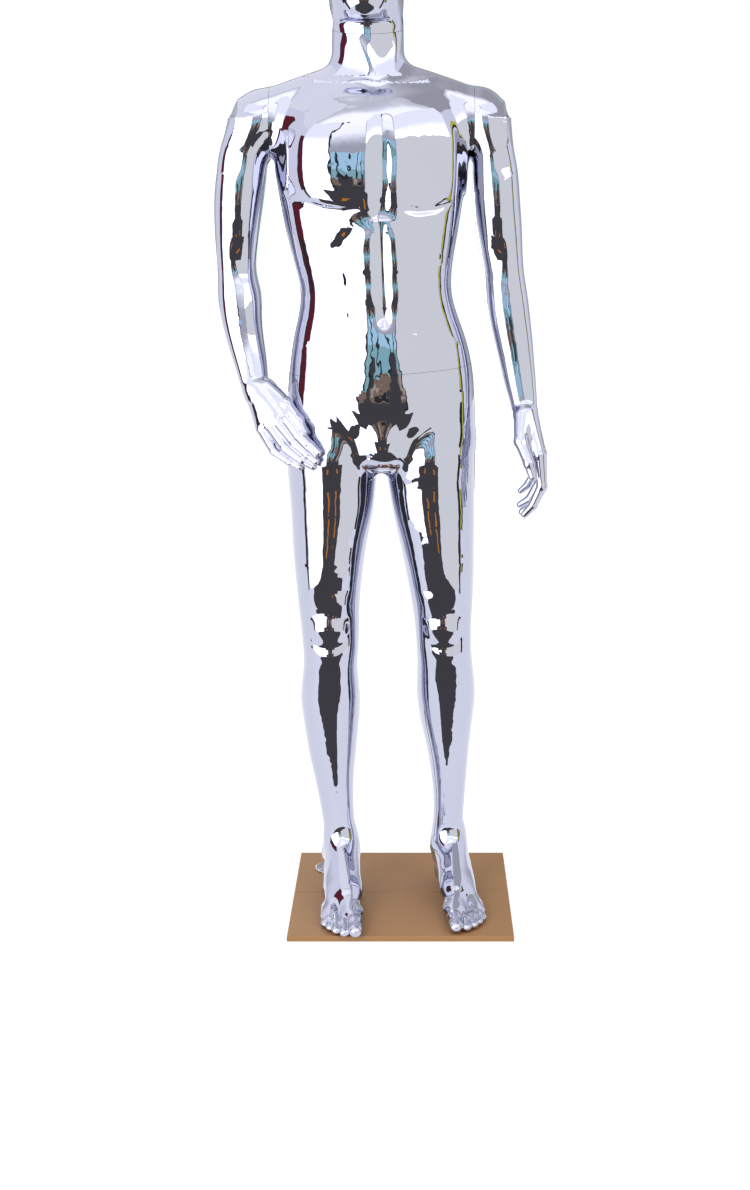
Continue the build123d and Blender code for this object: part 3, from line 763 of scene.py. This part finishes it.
CHROME = finished("chrome_plating", (0.46, 0.47, 0.58), (0.49, 0.50, 0.61), 1.0, (0.012, 0.03), 9, 0.004, 12)
ROD_CHROME = finished("rod_chrome", (0.50, 0.51, 0.55), (0.58, 0.59, 0.62), 1.0, (0.04, 0.10), 30)
BRONZE = (0.265, 0.134, 0.050), (0.293, 0.148, 0.058)
PAINT = finished("bronze_paint", *BRONZE, 0.0, (0.42, 0.55), 14, 0.0002, 900.0)
PAINT.node_tree.nodes["Principled BSDF"].inputs["Specular IOR Level"].default_value = 0.25
STEEL = finished("plain_steel", (0.42, 0.42, 0.44), (0.58, 0.58, 0.60), 1.0, (0.25, 0.45), 60, 0.0002)
SCREW = finished("screw_steel", (0.50, 0.50, 0.52), (0.62, 0.62, 0.64), 1.0, (0.22, 0.36), 120, 0.0001)
CAST = finished("cast_aluminium", (0.55, 0.55, 0.57), (0.68, 0.68, 0.70), 1.0, (0.38, 0.55), 200, 0.0003)
NYLON = finished("white_nylon", (0.74, 0.73, 0.69), (0.82, 0.81, 0.77), 0.0, (0.35, 0.5), 80, 0.0001)
RUBBER = finished("black_rubber", (0.018, 0.018, 0.018), (0.035, 0.035, 0.035), 0.0, (0.7, 0.9), 150, 0.0003)
FINISHES = {
    "chrome_plating": CHROME,
    "rod_chrome": ROD_CHROME,
    "bronze_paint": PAINT,
    "plain_steel": STEEL,
    "screw_steel": SCREW,
    "cast_aluminium": CAST,
    "white_nylon": NYLON,
    "black_rubber": RUBBER,
}


# ---------------------------------------------------------------- meshes
# Opening in the end wall of a piece where the socket or spigot casting sits, and the points round it.
FITTING_RADIUS = {"waist": 52.0, "neck": 36.0, "shoulder": 34.0}
RING_POINTS = 64
COARSER = 1.0
# Material index that marks the flat end walls until their normals are set.
END_WALL = 1


def surface(shapes, low, high, voxel):
    """Evenly spaced quad mesh of a sculpted form."""
    points, quads = skin(shapes, low, high, voxel * COARSER)
    return settle(shapes, relax(points, quads, 2), 2), quads


def divide_below(shell, shapes, height):
    """Divide a mesh once more below a height."""
    soft = [edge for edge in shell.edges if all(vertex.co.z < height for vertex in edge.verts)]
    bmesh.ops.subdivide_edges(shell, edges=soft, cuts=1, use_grid_fill=True)
    lower = [vertex for vertex in shell.verts if vertex.co.z < height]
    for vertex, place in zip(lower, settle(shapes, np.array([vertex.co[:] for vertex in lower]), 2)):
        vertex.co = place


def cut_end(shell, plane, keep, above, radius):
    """Cut a mesh at a seam plane, only above a height, and close it with a flat wall with a round opening.
    The side kept is 1 along the plane's normal and -1 against it."""
    place, normal = plane
    centre = Vector(place + keep * SEAM_GAP / 2 * normal)
    outward = Vector(-keep * normal)
    chosen = [face for face in shell.faces if face.calc_center_median().z > above]
    parts = dict.fromkeys(item for face in chosen for item in (*face.verts, *face.edges, face))
    made = bmesh.ops.bisect_plane(
        shell, geom=list(parts), plane_co=centre, plane_no=outward, clear_outer=True
    )
    rim = [item for item in made["geom_cut"] if isinstance(item, bmesh.types.BMEdge)]
    side = outward.orthogonal().normalized()
    up = outward.cross(side)
    turns = [math.tau * step / RING_POINTS for step in range(RING_POINTS)]
    ring = [shell.verts.new(centre + radius * (math.cos(t) * side + math.sin(t) * up)) for t in turns]
    rim += [shell.edges.new((ring[i], ring[i - 1])) for i in range(RING_POINTS)]
    wall = bmesh.ops.triangle_fill(shell, use_beauty=True, edges=rim, normal=outward)
    for item in wall["geom"]:
        if isinstance(item, bmesh.types.BMFace):
            item.material_index = END_WALL


def field_normals(mesh, shapes):
    """Corner normals from the slope of the field, and flat ones on the end walls."""
    places = np.empty(len(mesh.vertices) * 3)
    mesh.vertices.foreach_get("co", places)
    slopes = slope_at(shapes, places.reshape(-1, 3))
    slopes /= np.maximum(np.linalg.norm(slopes, axis=1, keepdims=True), 1e-6)
    corners = np.empty(len(mesh.loops), int)
    mesh.loops.foreach_get("vertex_index", corners)
    count = len(mesh.polygons)
    sides, marks, flat = np.empty(count, int), np.empty(count, int), np.empty(count * 3)
    mesh.polygons.foreach_get("loop_total", sides)
    mesh.polygons.foreach_get("material_index", marks)
    mesh.polygons.foreach_get("normal", flat)
    owner = np.repeat(np.arange(count), sides)
    on_wall = marks[owner, None] == END_WALL
    return np.where(on_wall, flat.reshape(-1, 3)[owner], slopes[corners]).tolist()


def build_piece(name, shapes, points, quads, cuts, fine):
    """Sculpted shell as a mesh object, cut at its seams and, below the fine height, divided once more."""
    mesh = bpy.data.meshes.new(name)
    mesh.from_pydata(points.tolist(), [], quads.tolist())
    shell = bmesh.new()
    shell.from_mesh(mesh)
    if fine:
        divide_below(shell, shapes, fine)
    for cut in cuts:
        cut_end(shell, *cut)
    loose = [vertex for vertex in shell.verts if not vertex.link_faces]
    bmesh.ops.delete(shell, geom=loose, context="VERTS")
    shell.to_mesh(mesh)
    shell.free()
    normals = field_normals(mesh, shapes)
    count = len(mesh.polygons)
    mesh.polygons.foreach_set("use_smooth", np.ones(count, bool))
    mesh.polygons.foreach_set("material_index", np.zeros(count, int))
    mesh.transform(Matrix.Scale(MM, 4))
    mesh.normals_split_custom_set(normals)
    piece = bpy.data.objects.new(name, mesh)
    bpy.context.scene.collection.objects.link(piece)
    return piece


# ---------------------------------------------------------------- pieces
# Box that each piece is worked out in.
SPANS = {
    "hips": ((-186, -214, SOLE - 6), (214, 180, 1026)),
    "torso": ((-232, -120, 970), (206, 176, 1640)),
    "head": ((-130, -110, 1560), (80, 158, 1866)),
    "right_arm": ((-322, -118, 790), (-90, 108, 1520)),
    "left_arm": ((140, -100, 712), (322, 108, 1520)),
}
# Cuts: the seam plane, the side kept, the height it starts at and the radius of the fitting's opening.
ARM_TOP = 1378
BELOW_WAIST = (WAIST, -1, 900, FITTING_RADIUS["waist"])
ABOVE_WAIST = (WAIST, 1, 900, FITTING_RADIUS["waist"])
BELOW_NECK = (NECK, -1, 1500, FITTING_RADIUS["neck"])
ABOVE_NECK = (NECK, 1, 1500, FITTING_RADIUS["neck"])
INSIDE_RIGHT = (RIGHT_SHOULDER, -1, 900, FITTING_RADIUS["shoulder"])
INSIDE_LEFT = (LEFT_SHOULDER, -1, 900, FITTING_RADIUS["shoulder"])
OUTSIDE_RIGHT = (RIGHT_SHOULDER, 1, ARM_TOP, FITTING_RADIUS["shoulder"])
OUTSIDE_LEFT = (LEFT_SHOULDER, 1, ARM_TOP, FITTING_RADIUS["shoulder"])
torso_cuts = [ABOVE_WAIST, BELOW_NECK, INSIDE_RIGHT, INSIDE_LEFT]
# Piece, body it rides on, CAD node it replaces, shapes, box, voxel, cuts, and height below which it is finer.
shells = [
    ("hips_skin", "hips", "hips_and_legs", body, SPANS["hips"], 4.2, [BELOW_WAIST], 120),
    ("torso_skin", "torso", "torso_shell", body, SPANS["torso"], 3.6, torso_cuts, None),
    ("head_skin", "head", "head_shell", head, SPANS["head"], 3.4, [ABOVE_NECK], None),
    ("right_arm_skin", "right_arm", "right_arm", right_arm, SPANS["right_arm"], 2.4, [OUTSIDE_RIGHT], None),
    ("left_arm_skin", "left_arm", "left_arm", left_arm, SPANS["left_arm"], 2.4, [OUTSIDE_LEFT], None),
]
with ThreadPoolExecutor(4) as pool:
    surfaces = list(pool.map(lambda row: surface(row[3], *row[4], row[5]), shells))
for (name, rides_on, node, shapes, span, voxel, cuts, fine), (points, quads) in zip(shells, surfaces):
    piece = build_piece(name, shapes, points, quads, cuts, fine)
    piece.data.materials.append(CHROME)
    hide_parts(node)
    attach(piece, rides_on)

# Every other CAD node is shown as it is, in its own material.
slots = {subpart["node"]: subpart["material_slot"] for subpart in frame["record"]["subparts"]}
for name, node in frame["nodes"].items():
    node.data.materials.clear()
    node.data.materials.append(FINISHES[slots[name]])

# ---------------------------------------------------------------- studio
scene = bpy.context.scene
scene.view_settings.view_transform = "Standard"


def glow(name, colour, strength, fade=None):
    """Emissive studio material. A fade is an axis, where it starts and ends, and the colour it ends in."""
    material = bpy.data.materials.new(name)
    material.use_nodes = True
    tree = material.node_tree
    tree.nodes.clear()
    light = tree.nodes.new("ShaderNodeEmission")
    light.inputs["Color"].default_value = (*colour, 1)
    if fade:
        axis, start, end, last = fade
        place = tree.nodes.new("ShaderNodeTexCoord")
        split = tree.nodes.new("ShaderNodeSeparateXYZ")
        tree.links.new(place.outputs["Object"], split.inputs["Vector"])
        ramp = tree.nodes.new("ShaderNodeMapRange")
        ramp.interpolation_type = "SMOOTHSTEP"
        ramp.inputs["From Min"].default_value = start
        ramp.inputs["From Max"].default_value = end
        tree.links.new(split.outputs[axis], ramp.inputs["Value"])
        tree.links.new(blended(tree, ramp.outputs["Result"], colour, last), light.inputs["Color"])
    light.inputs["Strength"].default_value = strength
    out = tree.nodes.new("ShaderNodeOutputMaterial")
    tree.links.new(light.outputs["Emission"], out.inputs["Surface"])
    return material


def card(name, corners, material):
    """Flat studio card, seen only in reflections."""
    mesh = bpy.data.meshes.new(name)
    mesh.from_pydata(corners, [], [tuple(range(len(corners)))])
    piece = bpy.data.objects.new(name, mesh)
    scene.collection.objects.link(piece)
    mesh.materials.append(material)
    piece.visible_camera = False
    piece.visible_diffuse = False
    piece.visible_shadow = False


def upright(name, start, end, low, high, material):
    """Upright card between two floor points."""
    (x0, y0), (x1, y1) = start, end
    card(name, [(x0, y0, low), (x1, y1, low), (x1, y1, high), (x0, y0, high)], material)


WHITE = glow("softbox", (1.0, 1.0, 0.97), 3.0, ("Z", 1.7, 2.7, (0.55, 0.55, 0.55)))
PALE = glow("pale_panel", (1.0, 1.0, 0.92), 1.2)
OVERHEAD = glow("overhead", (1.0, 1.0, 1.0), 2.0, ("Y", -1.9, -0.9, (0.52, 0.52, 0.52)))
CEILING = glow("ceiling", (1.0, 1.0, 1.0), 1.35, ("X", -0.9, 1.4, (0.45, 0.45, 0.45)))
WALL = glow("back_wall", (0.36, 0.36, 0.38), 1.9, ("Z", 1.9, 3.6, (1.0, 1.0, 1.0)))
DARK = glow("dark_panel", (0.045, 0.045, 0.05), 1.0)
CHARCOAL = glow("dark_floor", (0.095, 0.09, 0.09), 1.0)
RED = glow("red_curtain", (0.20, 0.027, 0.04), 1.0)
YELLOW = glow("yellow_curtain", (0.84, 0.82, 0.14), 1.0)
TEAL = glow("window_glass", (0.41, 0.76, 0.76), 1.0)
SKY = glow("window_sky", (0.70, 1.10, 1.25), 1.0)
BEIGE = glow("cardboard", (0.62, 0.52, 0.40), 1.0)
BROWN = glow("wood", (0.36, 0.25, 0.17), 1.0)
ORANGE = glow("orange_cloth", (0.85, 0.30, 0.05), 1.0)

floor_mesh = bpy.data.meshes.new("floor")
floor_mesh.from_pydata([(-9, -9, 0), (9, -9, 0), (9, 9, 0), (-9, 9, 0)], [], [(0, 1, 2, 3)])
floor = bpy.data.objects.new("floor", floor_mesh)
scene.collection.objects.link(floor)
PAPER = finished("floor_paper", (0.40, 0.40, 0.40), (0.42, 0.42, 0.42), 0.0, (0.9, 0.95), 2)
paper = PAPER.node_tree.nodes["Principled BSDF"]
paper.inputs["Emission Color"].default_value = (1, 1, 1, 1)
paper.inputs["Emission Strength"].default_value = 0.66
floor_mesh.materials.append(PAPER)

upright("left_softbox", (-0.75, -3.6), (-2.5, -0.85), 0.02, 4.6, WHITE)
upright("left_panel", (-0.66, -1.5), (-1.5, -0.5), 0.02, 0.9, WHITE)
upright("right_softbox", (0.65, -3.6), (2.6, -0.7), 1.85, 4.6, WHITE)
upright("right_screen", (0.65, -3.58), (2.6, -0.68), 0.02, 1.85, PALE)
upright("right_panel", (0.52, -1.5), (1.5, -0.4), 0.02, 0.9, PALE)
upright("red_curtain", (-2.55, -0.8), (-2.7, -0.2), 0.1, 2.6, RED)
upright("red_edge", (-2.7, -0.2), (-2.7, 0.0), 0.1, 2.6, DARK)
upright("yellow_curtain", (2.7, -0.40), (2.7, -0.15), 0.1, 2.6, YELLOW)
upright("yellow_edge", (2.7, -0.15), (2.7, 0.05), 0.1, 2.6, DARK)
upright("left_post", (-0.75, -3.6), (-0.69, -3.65), 0.02, 4.6, DARK)
upright("right_post", (0.65, -3.6), (0.59, -3.65), 0.02, 4.6, DARK)
upright("rear_softbox", (-1.7, 4.2), (-0.6, 4.5), 0.3, 3.4, WHITE)
upright("rear_window", (0.3, 4.5), (1.1, 4.4), 0.9, 2.3, TEAL)
upright("rear_wall", (0.1, 4.6), (1.5, 4.45), 0.0, 2.8, CHARCOAL)
for side in SIDES:
    upright("low_edge", (side * 1.5, -0.4), (side * 1.5, -0.2), 0.02, 0.9, DARK)

# Far end of the room: window, wall and odd furniture. Left and right end, bottom and top.
FAR_END = [
    ("window_low", -1.1, 1.1, 0.75, 1.35, TEAL),
    ("window_high", -1.1, 1.1, 1.35, 1.8, SKY),
    ("wall_low", -1.3, 1.3, 0.0, 0.75, BROWN),
    ("wall_high", -3.0, 3.0, 1.8, 4.7, WALL),
    ("cupboard", -0.75, -0.42, 0.0, 1.05, CHARCOAL),
    ("box", -0.36, -0.18, 0.35, 0.72, BEIGE),
    ("doorway", 0.22, 0.62, 0.0, 1.18, CHARCOAL),
    ("shelf", -0.1, 0.2, 0.1, 0.45, DARK),
    ("carton", 0.68, 0.92, 0.3, 0.9, BEIGE),
]
for step, (name, start, end, low, high, material) in enumerate(FAR_END):
    y = -6.1 + 0.02 * step
    upright(name, (start, y), (end, y), low, high, material)
# Dark bars across the window.
for step in range(6):
    x = -1.1 + 0.44 * step
    upright(f"mullion_{step}", (x - 0.04, -5.9), (x + 0.04, -5.9), 0.7, 1.8, DARK)
# Dark floor between the softboxes, with a cloth on each side of the camera's line.
edge = [(-0.2, -0.42), (0.22, -0.42), (0.95, -0.62), (1.4, -1.6), (2.0, -6.0), (-2.0, -6.0), (-1.4, -1.6)]
card("dark_floor", [(x, y, 0.01) for x, y in [*edge, (-0.95, -0.62)]], CHARCOAL)
card("overhead", [(-3, -6, 4.7), (3, -6, 4.7), (3, -0.9, 4.7), (-3, -0.9, 4.7)], OVERHEAD)
card("ceiling", [(-4, -0.9, 4.7), (4, -0.9, 4.7), (4, 4, 4.7), (-4, 4, 4.7)], CEILING)
for x in (-0.42, 0.24):
    corners = [(x, -1.9, 0.02), (x + 0.12, -1.9, 0.02), (x + 0.12, -2.4, 0.02), (x, -2.4, 0.02)]
    card("orange_cloth", corners, ORANGE)

world = bpy.data.worlds.new("studio")
scene.world = world
world.use_nodes = True
world_tree = world.node_tree
room = world_tree.nodes["Background"]
room.inputs["Color"].default_value = (0.94, 0.95, 1.0, 1)
# The room is brightest at the sides and falls off towards its back.
around = world_tree.nodes.new("ShaderNodeTexCoord")
facing = world_tree.nodes.new("ShaderNodeSeparateXYZ")
world_tree.links.new(around.outputs["Generated"], facing.inputs["Vector"])
falloff = world_tree.nodes.new("ShaderNodeMapRange")
falloff.interpolation_type = "SMOOTHSTEP"
falloff.inputs["From Min"].default_value = 0.45
falloff.inputs["From Max"].default_value = 1.0
falloff.inputs["To Min"].default_value = 1.25
falloff.inputs["To Max"].default_value = 0.45
world_tree.links.new(facing.outputs["Y"], falloff.inputs["Value"])
world_tree.links.new(falloff.outputs["Result"], room.inputs["Strength"])
backdrop = world_tree.nodes.new("ShaderNodeBackground")
backdrop.inputs["Color"].default_value = (1, 1, 1, 1)
chooser = world_tree.nodes.new("ShaderNodeMixShader")
ray = world_tree.nodes.new("ShaderNodeLightPath")
world_tree.links.new(ray.outputs["Is Camera Ray"], chooser.inputs[0])
world_tree.links.new(room.outputs[0], chooser.inputs[1])
world_tree.links.new(backdrop.outputs[0], chooser.inputs[2])
world_tree.links.new(chooser.outputs[0], world_tree.nodes["World Output"].inputs["Surface"])


def soft_light(name, place, target, size, watts):
    """Square lamp aimed at a point and left out of reflections."""
    data = bpy.data.lights.new(name, "AREA")
    data.size = size
    data.energy = watts
    lamp = bpy.data.objects.new(name, data)
    lamp.location = place
    lamp.rotation_euler = (Vector(target) - Vector(place)).to_track_quat("-Z", "Y").to_euler()
    lamp.visible_glossy = False
    scene.collection.objects.link(lamp)


soft_light("key", (-2.2, -3.0, 3.2), (0, 0, 0.6), 2.2, 60)
soft_light("fill", (2.4, -2.6, 2.6), (0, 0, 0.6), 2.2, 35)

# ---------------------------------------------------------------- camera
view = bpy.data.cameras.new("camera")
view.lens = 53.4
view.sensor_width = 36
view.sensor_fit = "AUTO"
view.shift_x = -0.0336
view.shift_y = -0.2017
eye = bpy.data.objects.new("camera", view)
eye.location = (0.0615, -3.191, 1.3065)
eye.rotation_euler = (math.radians(90 - 5.157), 0, 0)
scene.collection.objects.link(eye)
scene.camera = eye
